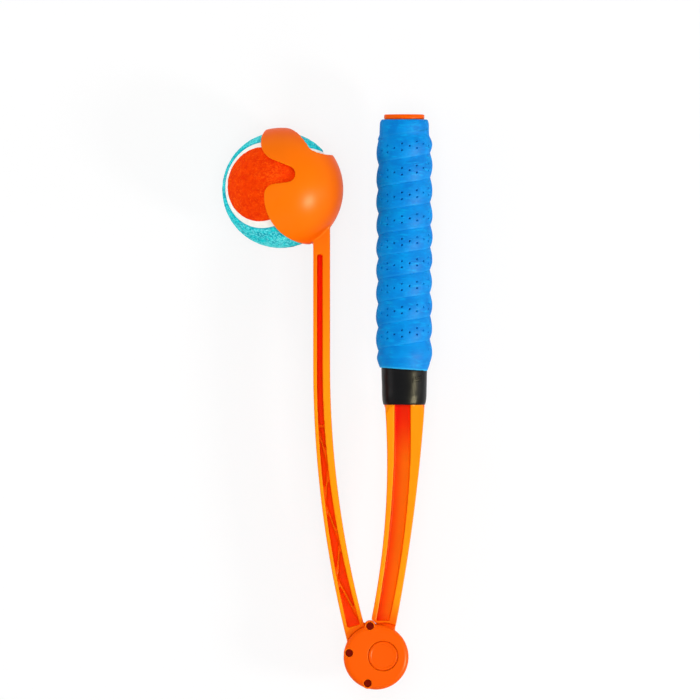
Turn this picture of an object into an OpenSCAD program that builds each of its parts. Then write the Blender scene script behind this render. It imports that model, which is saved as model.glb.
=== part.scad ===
// Foldable ball launcher: a throwing arm with a claw cup, a handle with a wound grip,
// a push-button hinge between them, and the felt ball that the cup holds.
// The fold axis is +Z through the origin, which lies on the flat back of the hinge.
// +Y runs from the hinge to the grip and the cup, and both arms lie in one plane.

/* [Ball] */
// Diameter of the ball over its felt
ball_d = 65; // [60:0.5:68]
// Thickness of the felt
felt_t = 2.2; // [1.5:0.1:3]
// Wall of the hollow rubber core
rubber_wall = 3.4; // [2.5:0.1:5]
// Width of the seam between the felt panels
seam_w = 4.8; // [3:0.1:5.5]
// How far the seam lies below the felt
seam_sink = 0.5; // [0.2:0.1:1]
// Turn of the ball about the long axis of the part
ball_turn = -18; // [-45:1:45]
// Tip of the ball about the X axis
ball_tip = -8; // [-20:1:20]
// Lean of the felt panels' round ends, which narrows their waists
seam_lean = 8; // [0:1:12]

/* [Cup] */
// Wall of the cup
cup_wall = 1.8; // [1.6:0.1:3]
// How far the fingers may run straight on past the cup's middle
finger_run = 16; // [14:0.5:20]
// Clearance between the ball and the cup
ball_gap = 0.3; // [0.3:0.05:0.5]
// How far the held ball sits out of the cup's middle
ball_out = 0.7; // [0.4:0.1:3]
// Direction that the mouth faces, from +X
mouth_dir = 200; // [195:1:205]
// Place of the cup's middle across the part
cup_x = -56.8; // [-58:0.1:-55]
// Place of the cup's middle along the part
cup_y = 261.1; // [258:0.1:265]
// Radius of the upper fingers
upper_finger_r = 10.6; // [9.5:0.1:12]
// Middle of the upper fingers, from the cup's middle
upper_finger = [-1, 26.3]; // [-40:0.1:40]
// Radius of the lower fingers
lower_finger_r = 26.7; // [25:0.1:28]
// Middle of the lower fingers, from the cup's middle
lower_finger = [17, -4.2]; // [-40:0.1:40]
// Radius of the corner between lower finger and notch
finger_corner_r = 6.3; // [4:0.1:8]
// Radius of the blind end of the notch between the fingers
notch_r = 4.5; // [3.5:0.1:5.5]
// Middle of the notch's blind end, from the cup's middle
notch = [3.2, 8.4]; // [-40:0.1:40]
// Direction of the notch's lower edge, from +X
notch_edge_dir = 187.6; // [180:0.1:195]
// Reach of the slot in the back of the cup towards the upper finger
back_slot_up = 16.5; // [14:0.5:18]
// Reach of that slot towards the neck
back_slot_down = 12; // [10:0.5:13]
// Fullness of its side towards the upper finger, 2 being an oval
back_slot_full = 1.3; // [1.1:0.05:2]
// Length of that slot across the plane of the arms
back_slot_l = 40.5; // [36:0.5:42]
// Direction of that slot, from +X
back_slot_dir = 54.7; // [50:0.1:58]

/* [Throwing arm] */
// Width of the straight stretch
throw_w = 9.5; // [8.5:0.1:11]
// Depth of the arm along the fold axis
throw_depth = 17; // [15:0.5:19]
// Place of the straight stretch across the part
throw_x = -34.35; // [-35:0.05:-33]
// Where the bend begins, along the part
throw_bend_y = 162; // [155:0.5:170]
// Radius of the bend at the outer edge
throw_outer_r = 633; // [615:1:650]
// Radius of the bend at the inner edge
throw_inner_r = 560; // [545:1:575]
// Where the arm meets the neck of the cup
throw_end_y = 228; // [226:0.5:231]
// Flange on the outer edge
throw_outer_flange = 2.1; // [1.8:0.1:2.6]
// Flange on the inner edge
throw_inner_flange = 4.3; // [3.5:0.1:5]
// Radius of the channel's wall on the inner side
throw_channel_r = 506; // [495:1:520]
// Thickness of the web between the two channels
throw_web = 6; // [3:0.1:7]
// Wall left above the channel
channel_end_wall = 3.4; // [2:0.1:5]
// Least wall left between the channel and the hinge
channel_root_wall = 2.2; // [2:0.1:5]
// Middle of the channel's end at the hinge
channel_root = [-17.8, 16.2]; // [-30:0.1:30]
// Direction of that end, from +X
channel_root_dir = 15; // [0:1:30]
// Thickness of the ribs in the channel
rib_t = 1; // [0.8:0.1:1.5]
// How far the ribs lie below the flanges
rib_drop = 3; // [1:0.1:5]
// Where the ribs begin, along the part
rib_start_y = 127; // [120:0.5:130]
// Length of one rib along the arm
rib_step = 21; // [18:0.5:24]
// Number of ribs
rib_count = 5; // [3:1:5]
// Length of the spigot that joins the arm to the cup
spigot_l = 5; // [4:0.5:7]

/* [Handle arm] */
// Depth of the arm along the fold axis
handle_depth = 19; // [17:0.5:20]
// Radius of the outer edge
handle_outer_r = 1026; // [1000:1:1060]
// Furthest point of the outer edge's circle
handle_outer = [25.8, 211.4]; // [0:0.1:220]
// Radius of the inner edge
handle_inner_r = 440; // [430:1:460]
// Furthest point of the inner edge's circle
handle_inner = [2.3, 108]; // [0:0.1:220]
// Radius of the channel's inner wall
handle_channel_in_r = 588; // [570:1:605]
// Furthest point of the inner wall's circle
handle_channel_in = [6.5, 129.2]; // [0:0.1:220]
// Radius of the channel's outer wall
handle_channel_out_r = 504; // [490:1:520]
// Furthest point of the outer wall's circle
handle_channel_out = [15.5, 129.2]; // [0:0.1:220]
// Thickness of the web between the two channels
handle_web = 6; // [3:0.1:7]
// Wall left between the channel and the hinge
handle_end_wall = 1.2; // [1:0.1:3]
// How far the channel runs on under the finishing tape
handle_channel_run = 3; // [2:0.5:4]
// Length over which the arm rounds off into the core
blend_l = 7; // [5:1:30]

/* [Grip] */
// Place of the grip's axis across the part
grip_x = 11.9; // [11.5:0.1:12.3]
// Diameter of the core under the tape
core_d = 22.6; // [22:0.1:24]
// Bore of the core
core_bore = 17; // [14:0.1:18]
// Where the core begins, along the part
core_y = 140.4; // [138:0.1:143]
// Length of the core
core_l = 159.9; // [150:0.1:170]
// Thickness of the end cap's rim
cap_t = 2.8; // [2:0.1:4]
// Length of the end cap's plug
cap_plug_l = 9; // [6:0.5:14]
// Length of the black finishing tape
band_l = 19.8; // [16:0.1:24]
// Thickness of the finishing tape at its lower edge
band_low_t = 0.3; // [0.2:0.05:0.8]
// Length over which the finishing tape turns in at its lower edge
band_turn_l = 4.5; // [3:0.1:6]
// Thickness of the finishing tape where that turn begins
band_turn_t = 1.1; // [0.8:0.05:1.4]
// Thickness of the finishing tape at its upper edge
band_high_t = 1.55; // [1:0.05:2]
// Slope of the finishing tape's upper edge
band_slope = 4; // [0:0.5:6]
// Pitch of the wound tape
wrap_pitch = 13.1; // [12:0.1:15]
// Gap between the turns of the wound tape
wrap_gap = 0.6; // [0.5:0.05:0.9]
// Thickness of the tape where one turn dips
wrap_low_t = 2.9; // [2:0.1:3.5]
// Thickness of the tape at the crest of a turn
wrap_high_t = 4.5; // [3.6:0.1:5]
// How far the lower edge of a turn rounds down from its crest
wrap_edge_drop = 1; // [0.5:0.1:1.5]
// Place of the crest across a turn
wrap_crest = 0.3; // [0.2:0.05:0.4]
// Place across a turn where it has fallen halfway to its dip
wrap_half_fall = 0.65; // [0.5:0.05:0.8]
// Thickness of the single layer at the butt end
wrap_end_t = 2.1; // [1.6:0.1:2.6]
// Thickness of the single layer above the finishing tape
wrap_start_t = 1.9; // [1.5:0.1:2.4]
// Length of the rise above the finishing tape, in turns
wrap_start_rise = 0.6; // [0.4:0.1:0.9]
// Length of the single layer at the butt end, in turns
wrap_end_flat = 0.7; // [0.5:0.1:0.9]
// Where a seam crosses the front of the grip, along the part
wrap_seam_y = 174; // [170:0.1:180]

/* [Hinge] */
// Thickness of the whole hinge
hinge_t = 26; // [25:0.5:29]
// Radius of the hinge's round outline
disc_r = 18.2; // [17.8:0.1:19]
// Middle of that outline, from the fold axis
disc_c = [-3.9, -0.6]; // [-6:0.1:6]
// Rounding of the hinge's outer edges
disc_rim = 3; // [1:0.1:3.5]
// Radius of the ears round the screws
ear_r = 3.1; // [3:0.1:3.4]
// Directions of the screws from the fold axis
screw_dirs = [113.5, 175, 240.8]; // [90:0.1:270]
// Distances of the screws from the fold axis
screw_radii = [18.3, 19, 17.5]; // [17:0.1:20]
// Diameter of the screws' shanks
screw_d = 2.5; // [2:0.1:3]
// Diameter of the screws' heads
screw_head_d = 4.2; // [3.8:0.1:4.4]
// Height of the screws' heads
screw_head_h = 1.4; // [1.2:0.1:2.4]
// Length of the screws' shanks
screw_l = 13; // [10:0.5:14]
// Cover left under the screws' heads
screw_seat_t = 1.7; // [1.4:0.1:3.5]
// Thickness of the tongue between the two halves
tongue_t = 10; // [9:0.5:11]
// Radius of the tongue
tongue_r = 13.4; // [13:0.1:13.6]
// Width of the neck between tongue and arm
neck_w = 10.4; // [9:0.1:11]
// Direction of the neck from the fold axis
neck_dir = 84; // [82:0.5:86]
// Diameter of the pivot boss that the tongue turns on
pivot_d = 17.8; // [17:0.1:18]
// Length of the pivot boss
pivot_l = 7.5; // [6:0.1:8.5]
// Angle left between the folded handle's neck and the hinge's wall
wall_slack_folded = 11; // [4:1:14]
// Angle left between the opened handle's neck and the hinge's wall
wall_slack_open = 24; // [4:1:30]
// Fold travel from folded to open
fold_travel = 150; // [140:1:155]

/* [Lock] */
// Diameter of the button
button_d = 16.4; // [15:0.1:17]
// Gap round the button
button_gap = 0.3; // [0.2:0.05:0.5]
// Thickness of the button's cap
button_cap_t = 3.6; // [2.5:0.1:4.5]
// Depth of the dish in the button
button_dish = 0.35; // [0.2:0.05:0.8]
// Diameter of the dish in the button
button_dish_d = 13.4; // [12:0.1:14]
// Diameter of the button's stem
stem_d = 12; // [11:0.1:12.5]
// Step from the stem to the tip that carries the lock gear
stem_step = 0.6; // [0.4:0.1:0.8]
// Travel of the button
button_travel = 2; // [1.5:0.1:2.2]
// Thickness of the lock gear
gear_t = 3.4; // [3:0.1:3.6]
// Width of the lock gear's ring outside the stem
gear_ring = 2; // [1.5:0.1:2.4]
// Reach of the lock gear's lugs
lug_r = 11.6; // [11:0.1:11.8]
// Width of the lugs
lug_w = 5; // [4:0.1:6]
// Directions of the lugs from the fold axis
lug_dirs = [20, 140, 235]; // [0:1:360]
// Floor of the back shell under the lock
lock_floor = 1.8; // [1.4:0.1:2]
// Diameter of the spring's wire
spring_wire = 0.8; // [0.6:0.05:1]
// Mean diameter of the spring
spring_d = 6.4; // [5.6:0.1:6.8]
// Number of turns of the spring
spring_turns = 6; // [4:1:7]

/* [Fits] */
// Clearance of a turning or sliding fit, on the radius
run_fit = 0.05; // [0.02:0.01:0.09]
// Clearance between pieces that move past each other
free_gap = 0.3; // [0.25:0.05:0.4]
// Clearance between a plug and its socket
plug_fit = 0.1; // [0.05:0.01:0.2]

/* [Hidden] */

$fn = 96;
// Steps along the bend of an arm's edge
bend_steps = 20;
// Steps along each arc of the cup's mouth
mouth_steps = 14;
// Steps round the oval slot in the back of the cup
slot_steps = 24;
// Larger than any cut has to reach
far = 400;
// Overlap of a cutter past the face that it opens
past = 1;

orange = [1, 0.42, 0];
deep_orange = [0.96, 0.36, 0.02];
blue = [0, 0.5, 0.87];
black = [0.1, 0.1, 0.11];
steel = [0.62, 0.63, 0.65];
acetal = [0.9, 0.9, 0.87];
rubber = [0.16, 0.15, 0.14];
felt_red = [0.97, 0.27, 0.04];
felt_teal = [0.12, 0.76, 0.85];
seam_white = [0.95, 0.94, 0.9];

// Levels along the fold axis
mid_z = hinge_t / 2;
tongue_z0 = mid_z - tongue_t / 2;
tongue_z1 = mid_z + tongue_t / 2;
shell_z = tongue_z0 - free_gap;
cover_z = tongue_z1 + free_gap;
gear_z1 = tongue_z0 - free_gap;
gear_z0 = gear_z1 - gear_t;
screw_seat_z = cover_z + screw_seat_t;
button_z0 = hinge_t - button_cap_t;
button_well_z = button_z0 - button_travel - free_gap;

// Hinge sizes that follow
screws = [for (i = [0 : len(screw_dirs) - 1])
    screw_radii[i] * [cos(screw_dirs[i]), sin(screw_dirs[i])]];
pivot_r = pivot_d / 2;
stem_r = stem_d / 2;
stem_tip_r = stem_r - stem_step;
lug_root_r = stem_r + gear_ring;
// Half the angle that the handle's neck takes up
neck_half = asin(neck_w / 2 / tongue_r);
// Reach of the hinge's round outline from the fold axis in one direction
function outline_at(a) = let (along = disc_c[0] * cos(a) + disc_c[1] * sin(a))
    along + sqrt(disc_r * disc_r - disc_c * disc_c + along * along);
// The handle arm ends clear of that outline over its whole swing, up to the ear of the first screw
swing_from = neck_dir - fold_travel - neck_half;
swing_to = screw_dirs[0] - asin((ear_r + free_gap) / screw_radii[0]);
arm_end_r = free_gap + max([for (i = [0 : bend_steps])
    outline_at(swing_from + (swing_to - swing_from) * i / bend_steps)]);
// Sector behind the tongue that the handle never sweeps
wall_from = neck_dir + neck_half + wall_slack_folded;
wall_to = 360 + neck_dir - fold_travel - neck_half - wall_slack_open;

// Cup and ball
ball_r = ball_d / 2;
cup_in_r = ball_r + ball_gap;
cup_r = cup_in_r + cup_wall;
finger_step = cup_wall / 12;
cup_c = [cup_x, cup_y, mid_z];
mouth = [cos(mouth_dir), sin(mouth_dir), 0];
ball_c = cup_c + ball_out * mouth;
core_r = ball_r - felt_t;
seam_half = seam_w / 2 / ball_r * 180 / PI;

// Grip
grip_core_r = core_d / 2;
grip_top = core_y + core_l;
band_top = core_y + band_l;
wrap_w = wrap_pitch - wrap_gap;
rings_per_turn = 24;
wrap_in_r = (grip_core_r + plug_fit) / cos(180 / rings_per_turn);
wrap_tip = 2;

// The arms' edges and their channels, in the plane of the arms
throw_left = throw_x - throw_w / 2;
throw_right = throw_x + throw_w / 2;

// Shapes that repeat

// A disc with a rounded upper edge
module rounded_disc(r, h, rim) {
    rotate_extrude() {
        square([r - rim, h]);
        square([r, h - rim]);
        translate([r - rim, h - rim]) intersection() {
            circle(rim);
            square(rim);
        }
    }
}

// A ring of rounded discs: the outline of the hinge with its screw ears
module hinge_half(h, rim) {
    translate(disc_c) rounded_disc(disc_r, h, rim);
    for (p = screws) translate(p) rounded_disc(ear_r, h, rim / 2);
}

module hinge_outline(grow) {
    translate(disc_c) circle(disc_r + grow);
    for (p = screws) translate(p) circle(ear_r + grow);
}

// A straight bar from one point of the plane to another
module bar(from, to, w) {
    d = to - from;
    translate(from) rotate(atan2(d[1], d[0])) translate([0, -w / 2]) square([norm(d), w]);
}

// A pie slice of less than half a turn
module slice(from, to, r) {
    middle = (from + to) / 2;
    polygon([[0, 0], r * [cos(from), sin(from)], 2 * r * [cos(middle), sin(middle)],
             r * [cos(to), sin(to)]]);
}

// One closed solid through rings of the same number of points
module loft(rings) {
    n = len(rings[0]);
    last = len(rings) - 1;
    points = [for (ring = rings) for (p = ring) p];
    sides = [for (k = [0 : last - 1], i = [0 : n - 1])
        let (j = (i + 1) % n, a = k * n, b = a + n)
        each [[a + i, a + j, b + j], [a + i, b + j, b + i]]];
    start = [for (i = [1 : n - 2]) [0, i + 1, i]];
    end = [for (i = [1 : n - 2]) [last * n, last * n + i, last * n + i + 1]];
    polyhedron(points, concat(sides, start, end));
}

// Turns a shape that is drawn round the Z axis to lie round the grip's axis
module on_grip_axis(y) {
    translate([grip_x, y, mid_z]) rotate([-90, 0, 0]) children();
}

// Throwing arm

// A point on an edge that runs straight and then bends towards +X
function throw_edge(x, r, y) = [x + (y > throw_bend_y ? 0 : r - sqrt(r * r - pow(throw_bend_y - y, 2))), y];

// The strip between two such edges
module throw_strip(left, left_r, right, right_r, y0, y1) {
    levels = [for (i = [0 : bend_steps]) y0 + (throw_bend_y - y0) * i / bend_steps];
    polygon(concat(
        [for (y = levels) throw_edge(left, left_r, y)],
        [[left, y1], [right, y1]],
        [for (i = [bend_steps : -1 : 0]) throw_edge(right, right_r, levels[i])]));
}

module throw_outline(y0, y1) {
    throw_strip(throw_left, throw_outer_r, throw_right, throw_inner_r, y0, y1);
}

channel_left = throw_left + throw_outer_flange;
channel_left_r = throw_outer_r - throw_outer_flange;
channel_right = throw_right - throw_inner_flange;

module throw_channel() {
    difference() {
        throw_strip(channel_left, channel_left_r, channel_right, throw_channel_r,
                    tongue_r, throw_end_y - channel_end_wall);
        hinge_outline(channel_root_wall);
        translate(channel_root) rotate(channel_root_dir) translate([-far / 2, -far]) square(far);
    }
}

// The ribs run from one wall of the channel to the other
function rib_node(i) = let (y = rib_start_y - i * rib_step)
    i % 2 == 0 ? throw_edge(channel_left, channel_left_r, y)
               : throw_edge(channel_right, throw_channel_r, y);

module throw_ribs() {
    for (i = [0 : rib_count - 1]) bar(rib_node(i), rib_node(i + 1), rib_t);
    translate([throw_left, rib_start_y + rib_t]) square([throw_w, rib_t]);
}

// The channel on the +Z face, with its ribs left standing
module throw_pocket() {
    face = mid_z + throw_depth / 2;
    translate([0, 0, face - rib_drop]) linear_extrude(rib_drop + past) throw_channel();
    translate([0, 0, mid_z + throw_web / 2]) linear_extrude(throw_depth) difference() {
        throw_channel();
        throw_ribs();
    }
}

// Mirrors a shape about the plane of the arms
module other_face() {
    translate([0, 0, 2 * mid_z]) mirror([0, 0, 1]) children();
}

spigot_w = throw_w / 2;
spigot_depth = throw_depth / 2;

module spigot(grow) {
    translate([throw_x - spigot_w / 2 - grow, throw_end_y - grow, mid_z - spigot_depth / 2 - grow])
        cube([spigot_w + 2 * grow, spigot_l + 2 * grow, spigot_depth + 2 * grow]);
}

// Pocket of the lock gear in the back shell, with its keyways
module lock_pocket() {
    reach = lug_r + free_gap;
    translate([0, 0, lock_floor]) linear_extrude(hinge_t) {
        circle(lug_root_r + free_gap);
        for (a = lug_dirs) rotate(a) translate([0, -lug_w / 2 - free_gap])
            square([reach, lug_w + 2 * free_gap]);
    }
}

module throw_arm() {
    color(orange) difference() {
        union() {
            // Back half of the hinge, rounded at the back
            translate([0, 0, shell_z]) mirror([0, 0, 1]) hinge_half(shell_z, disc_rim);
            // Wall and screw posts between the two halves
            translate([0, 0, shell_z - past]) linear_extrude(cover_z - shell_z + past) difference() {
                union() {
                    intersection() {
                        hinge_outline(0);
                        slice(wall_from, wall_to, far);
                    }
                    for (p = screws) translate(p) circle(ear_r);
                }
                circle(tongue_r + free_gap);
            }
            // The arm, stepped under the cover
            difference() {
                translate([0, 0, mid_z - throw_depth / 2]) linear_extrude(throw_depth)
                    difference() {
                        throw_outline(tongue_r / 2, throw_end_y);
                        circle(tongue_r + free_gap);
                    }
                translate([0, 0, cover_z]) linear_extrude(far) hinge_outline(plug_fit);
                throw_pocket();
                other_face() throw_pocket();
            }
            difference() {
                spigot(0);
                translate([0, throw_end_y - far, 0]) cube([far, 2 * far, far], center = true);
            }
        }
        lock_pocket();
        for (p = screws) translate([p[0], p[1], screw_seat_z - screw_l - past])
            cylinder(h = far, d = screw_d + 2 * run_fit);
    }
}

// Cup

// Directions and points that lay out the edge of the mouth
function polar(a) = [cos(a), sin(a)];
function dir_of(v) = atan2(v[1], v[0]);
finger_span = upper_finger - notch;
upper_edge_dir = dir_of(finger_span) - acos((upper_finger_r + notch_r) / norm(finger_span));
lower_edge_dir = notch_edge_dir - 270;
lower_edge = polar(notch_edge_dir);
// The rounded corner touches the notch's lower edge and the lower finger's circle
corner_base = notch + (notch_r + finger_corner_r) * polar(lower_edge_dir) - lower_finger;
corner_run = -corner_base * lower_edge + sqrt(pow(corner_base * lower_edge, 2)
    - corner_base * corner_base + pow(lower_finger_r - finger_corner_r, 2));
finger_corner = lower_finger + corner_base + corner_run * lower_edge;
corner_dir = (dir_of(finger_corner - lower_finger) + 360) % 360;

// Points of an arc, without its last one where the next arc begins there
function arc(c, r, from, to, last = mouth_steps) =
    [for (i = [0 : last]) c + r * polar(from + (to - from) * i / mouth_steps)];

// Everything in front of the fingers, seen along the fold axis
module mouth_opening() {
    reach = 2 * cup_r;
    polygon(concat(
        [[-reach, reach], [upper_finger[0], reach]],
        arc(upper_finger, upper_finger_r, 90, upper_edge_dir + 180),
        arc(notch, notch_r, upper_edge_dir, lower_edge_dir),
        arc(finger_corner, finger_corner_r, lower_edge_dir + 180, corner_dir, mouth_steps - 1),
        arc(lower_finger, lower_finger_r, corner_dir, 270),
        [[lower_finger[0], -reach], [-reach, -reach]]));
}

// One point of an oval whose sides are straighter the less its fullness is
function oval(half, reach, full, a) =
    [half * sign(cos(a)) * pow(abs(cos(a)), 2 / full), reach * pow(abs(sin(a)), 2 / full)];

// The slot in the back of the cup, drawn out towards the upper finger
module back_slot() {
    half = back_slot_l / 2;
    turns = [for (i = [0 : slot_steps - 1]) i * 180 / slot_steps];
    rotate(back_slot_dir) rotate([0, 90, 0]) linear_extrude(2 * cup_r) polygon(concat(
        [for (a = turns) oval(half, back_slot_up, back_slot_full, a)],
        [for (a = turns) -oval(half, back_slot_down, 2, a)]));
}

module cup_neck() {
    translate([throw_left, throw_end_y, mid_z - throw_depth / 2])
        cube([throw_w, cup_y - throw_end_y - cup_r / 2, throw_depth]);
}

// The hollow of the cup, and the way along which the ball leaves it past the fingers
module ball_path() {
    rotate([0, 90, 0]) sphere(cup_in_r);
    rotate(mouth_dir) rotate([0, 90, 0]) cylinder(h = 2 * cup_r, r = cup_in_r - run_fit);
}

module ball_cup() {
    color(orange) difference() {
        union() {
            translate(cup_c) {
                rotate([0, 90, 0]) sphere(cup_r);
                // Past the middle the fingers run straight, so that they keep their wall
                rotate(mouth_dir) rotate([0, 90, 0]) cylinder(h = finger_run, r = cup_r - finger_step);
            }
            cup_neck();
        }
        translate(cup_c) {
            ball_path();
            translate([0, 0, -cup_r - past]) linear_extrude(2 * (cup_r + past)) mouth_opening();
            back_slot();
        }
        spigot(plug_fit);
    }
}

// Hinge cover and its screws

module hinge_cover() {
    color(orange) difference() {
        union() {
            translate([0, 0, cover_z]) hinge_half(hinge_t - cover_z, disc_rim);
            translate([0, 0, tongue_z1 - pivot_l]) cylinder(h = cover_z - tongue_z1 + pivot_l + past, r = pivot_r);
        }
        translate([0, 0, button_well_z]) cylinder(h = far, d = button_d + 2 * button_gap);
        translate([0, 0, -past]) cylinder(h = far, r = stem_r + run_fit);
        for (p = screws) translate([p[0], p[1], 0]) {
            cylinder(h = far, d = screw_d + 2 * free_gap);
            translate([0, 0, screw_seat_z]) cylinder(h = far, d = screw_head_d + 2 * plug_fit);
        }
    }
}

// One screw with a cross recess in its head
module cover_screw(i) {
    recess_w = screw_head_d / 5;
    recess_l = 3 * recess_w;
    color(steel) translate([screws[i][0], screws[i][1], screw_seat_z]) difference() {
        union() {
            cylinder(h = screw_head_h, d = screw_head_d);
            translate([0, 0, -screw_l]) cylinder(h = screw_l + past / 2, d = screw_d);
        }
        for (a = [0, 90]) rotate(a) translate([0, 0, screw_head_h])
            cube([recess_l, recess_w, screw_head_h], center = true);
    }
}

// Lock

spring_z0 = lock_floor;
spring_z1 = button_well_z - past;
spring_bore_r = (spring_d + spring_wire) / 2 + free_gap;

module release_button() {
    button_r = button_d / 2;
    lip = button_gap;
    dish_r = button_dish_d / 2;
    color(deep_orange) difference() {
        union() {
            translate([0, 0, button_z0]) rotate_extrude() polygon([
                [0, 0], [button_r, 0], [button_r, button_cap_t - lip], [button_r - lip, button_cap_t],
                [dish_r, button_cap_t], [dish_r - button_dish, button_cap_t - button_dish],
                [0, button_cap_t - button_dish]]);
            translate([0, 0, gear_z1]) cylinder(h = button_z0 - gear_z1 + past / 2, r = stem_r);
            translate([0, 0, gear_z0]) cylinder(h = gear_t + past / 2, r = stem_tip_r);
        }
        translate([0, 0, gear_z0 - past]) cylinder(h = spring_z1 - gear_z0 + past, r = spring_bore_r);
    }
}

module lock_gear() {
    color(acetal) translate([0, 0, gear_z0]) difference() {
        linear_extrude(gear_t) {
            circle(lug_root_r);
            for (a = lug_dirs) rotate(a) translate([0, -lug_w / 2]) square([lug_r, lug_w]);
        }
        translate([0, 0, -past]) cylinder(h = far, r = stem_tip_r + run_fit);
    }
}

curl_rings = 8;
wire_sides = 6;
spring_rise = (spring_z1 - spring_z0 - spring_wire - 2 * plug_fit) / (spring_turns * curl_rings);
spring_rings = [for (k = [0 : spring_turns * curl_rings])
    let (a = k * 360 / curl_rings, z = spring_z0 + plug_fit + spring_wire / 2 + k * spring_rise)
    [for (i = [0 : wire_sides - 1])
        let (b = i * 360 / wire_sides, r = spring_d / 2 + spring_wire / 2 * cos(b))
        [r * cos(a), r * sin(a), z + spring_wire / 2 * sin(b)]]];
spring_gap = min([for (k = [0 : len(spring_rings) - 1 - curl_rings], p = spring_rings[k],
                       q = spring_rings[k + curl_rings]) norm(q - p)]);

module lock_spring() {
    echo(least_gap_between_spring_turns = spring_gap);
    color(steel) loft(spring_rings);
}

// Handle

// A point on the circle that one edge of the arm or of its channel follows
function handle_edge(furthest, r, y) = [furthest[0] - r + sqrt(r * r - pow(furthest[1] - y, 2)), y];

// The strip between two such edges
module handle_strip(inner, inner_r, outer, outer_r, y0, y1) {
    levels = [for (i = [0 : bend_steps]) y0 + (y1 - y0) * i / bend_steps];
    polygon(concat(
        [for (y = levels) handle_edge(inner, inner_r, y)],
        [for (i = [bend_steps : -1 : 0]) handle_edge(outer, outer_r, levels[i])]));
}

module handle_pocket() {
    translate([0, 0, mid_z + handle_web / 2]) linear_extrude(far) difference() {
        handle_strip(handle_channel_in, handle_channel_in_r, handle_channel_out, handle_channel_out_r,
                     0, core_y + handle_channel_run);
        circle(arm_end_r + handle_end_wall);
    }
}

// The arm rounds off towards the core, where its corners would stand proud of the tape
module arm_envelope() {
    arm_corner_r = norm([core_d, handle_depth]) / 2;
    on_grip_axis(0) rotate_extrude() polygon([
        [0, 0], [far / 4, 0], [far / 4, core_y - blend_l], [arm_corner_r, core_y - blend_l],
        [grip_core_r, core_y], [0, core_y]]);
}

module tongue() {
    difference() {
        union() {
            cylinder(h = tongue_t, r = tongue_r);
            linear_extrude(tongue_t) intersection() {
                rotate(neck_dir) translate([0, -neck_w / 2]) square([arm_end_r + neck_w / 2, neck_w]);
                circle(arm_end_r + neck_w / 2);
            }
        }
        translate([0, 0, -past]) cylinder(h = far, r = pivot_r + run_fit);
        // Keyways for the lugs, which line up with them when the arm is fully open
        translate([0, 0, -past]) linear_extrude(gear_t + past)
            for (a = lug_dirs) rotate(a + fold_travel) translate([0, -lug_w / 2 - free_gap])
                square([lug_r + free_gap, lug_w + 2 * free_gap]);
    }
}

module handle_arm() {
    color(orange) difference() {
        union() {
            intersection() {
                translate([0, 0, mid_z - handle_depth / 2]) linear_extrude(handle_depth) difference() {
                    handle_strip(handle_inner, handle_inner_r, handle_outer, handle_outer_r, 0, core_y);
                    circle(arm_end_r);
                    translate(screws[0]) circle(ear_r + free_gap);
                }
                arm_envelope();
            }
            translate([0, 0, tongue_z0]) tongue();
            on_grip_axis(core_y - handle_end_wall / 2)
                cylinder(h = core_l + handle_end_wall / 2, r = grip_core_r);
        }
        handle_pocket();
        other_face() handle_pocket();
        on_grip_axis(core_y + core_d / 4) cylinder(h = far, d = core_bore);
    }
}

module end_cap() {
    chamfer = cap_t / 3;
    color(orange) on_grip_axis(grip_top) rotate_extrude() polygon([
        [0, -cap_plug_l], [core_bore / 2 - plug_fit, -cap_plug_l], [core_bore / 2 - plug_fit, 0],
        [grip_core_r, 0], [grip_core_r, cap_t - chamfer], [grip_core_r - chamfer, cap_t], [0, cap_t]]);
}

// Black tape band, turned in at its lower edge and cut to a slope at its upper one
module finishing_tape() {
    inner = grip_core_r + run_fit;
    rise = band_l + grip_core_r;
    flare = (band_high_t - band_turn_t) / (band_l - band_turn_l) * (rise - band_turn_l);
    color(black) difference() {
        on_grip_axis(core_y) rotate_extrude() polygon([
            [inner, 0], [grip_core_r + band_low_t, 0],
            [grip_core_r + (band_low_t + band_turn_t) / 2, band_turn_l / 4],
            [grip_core_r + band_turn_t, band_turn_l],
            [grip_core_r + band_turn_t + flare, rise], [inner, rise]]);
        translate([grip_x, band_top, mid_z]) rotate(-band_slope) translate([-far / 2, 0, -far / 2])
            cube(far);
    }
}

// Wound grip tape: one strip, whose ends are trimmed level with the core's end and the band

// Lower edge of the grip at a place across it
function wrap_floor(angle, r) = band_top + free_gap - r * sin(angle) * tan(band_slope);
wrap_slack = grip_core_r * tan(band_slope);
wrap_low_y = band_top + wrap_slack + wrap_tip - wrap_w;
wrap_phase = (wrap_low_y - wrap_seam_y - wrap_gap / 2) / wrap_pitch * 360;
wrap_rings = ceil((grip_top - wrap_tip - wrap_low_y) / wrap_pitch * rings_per_turn);

// Outer face of one turn, from its lower edge (0) to its upper edge (1)
function wrap_face(s) = lookup(s, [
    [0, wrap_high_t - wrap_edge_drop], [wrap_crest, wrap_high_t],
    [wrap_half_fall, (wrap_high_t + wrap_low_t) / 2], [1, wrap_low_t]]);
// The single layers at both ends hold the face down
function wrap_limit(y) = lookup(y, [
    [band_top, wrap_start_t], [band_top + wrap_pitch * wrap_start_rise, wrap_high_t],
    [grip_top - wrap_pitch, wrap_high_t], [grip_top - wrap_pitch * wrap_end_flat, wrap_end_t],
    [grip_top, wrap_end_t]]);
function wrap_point(angle, y, r) = [grip_x + r * sin(angle), y, mid_z + r * cos(angle)];

function wrap_ring(k) =
    let (angle = wrap_phase + k * 360 / rings_per_turn,
         base = wrap_low_y + k * wrap_pitch / rings_per_turn,
         low = max(base, wrap_floor(angle, grip_core_r + wrap_end_t)),
         high = min(base + wrap_w, grip_top))
    concat([for (y = [low, high]) wrap_point(angle, y, wrap_in_r)],
           [for (t = [1, wrap_half_fall, wrap_crest, 0]) let (y = low + t * (high - low))
               wrap_point(angle, y, wrap_in_r + min(wrap_face((y - base) / wrap_w), wrap_limit(y)))]);

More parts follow.
